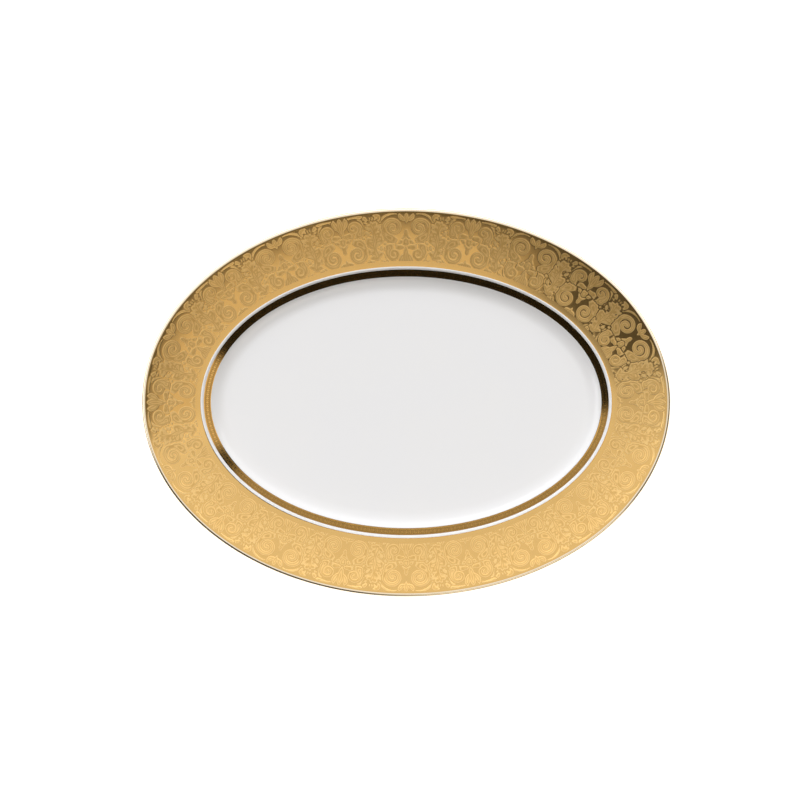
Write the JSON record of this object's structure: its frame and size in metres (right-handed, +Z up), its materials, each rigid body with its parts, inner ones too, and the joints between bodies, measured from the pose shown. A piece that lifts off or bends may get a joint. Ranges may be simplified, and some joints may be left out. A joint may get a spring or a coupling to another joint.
{
  "type": "serving platter",
  "caption": "Oval glazed porcelain serving platter with a broad etched gold rim, a bare white line, a narrow gold band round the well and a foot ring underneath.",
  "frame": {"origin": "under the middle of the platter, on the surface that it stands on", "axes": "+X along the platter's length, +Y across its width, +Z up out of the well"},
  "size_m": [0.34, 0.25, 0.025],
  "materials": {
    "biscuit_porcelain": "matte",
    "white_glaze": "gloss",
    "etched_gold": "satin",
    "burnished_gold": "polished"
  },
  "bodies": {
    "root": {"porcelain_body": "biscuit_porcelain", "face_glaze": "white_glaze", "base_glaze": "white_glaze", "rim_gold_band": "etched_gold", "lip_gold_line": "burnished_gold", "well_gold_band": "burnished_gold"}
  },
  "joints": []
}
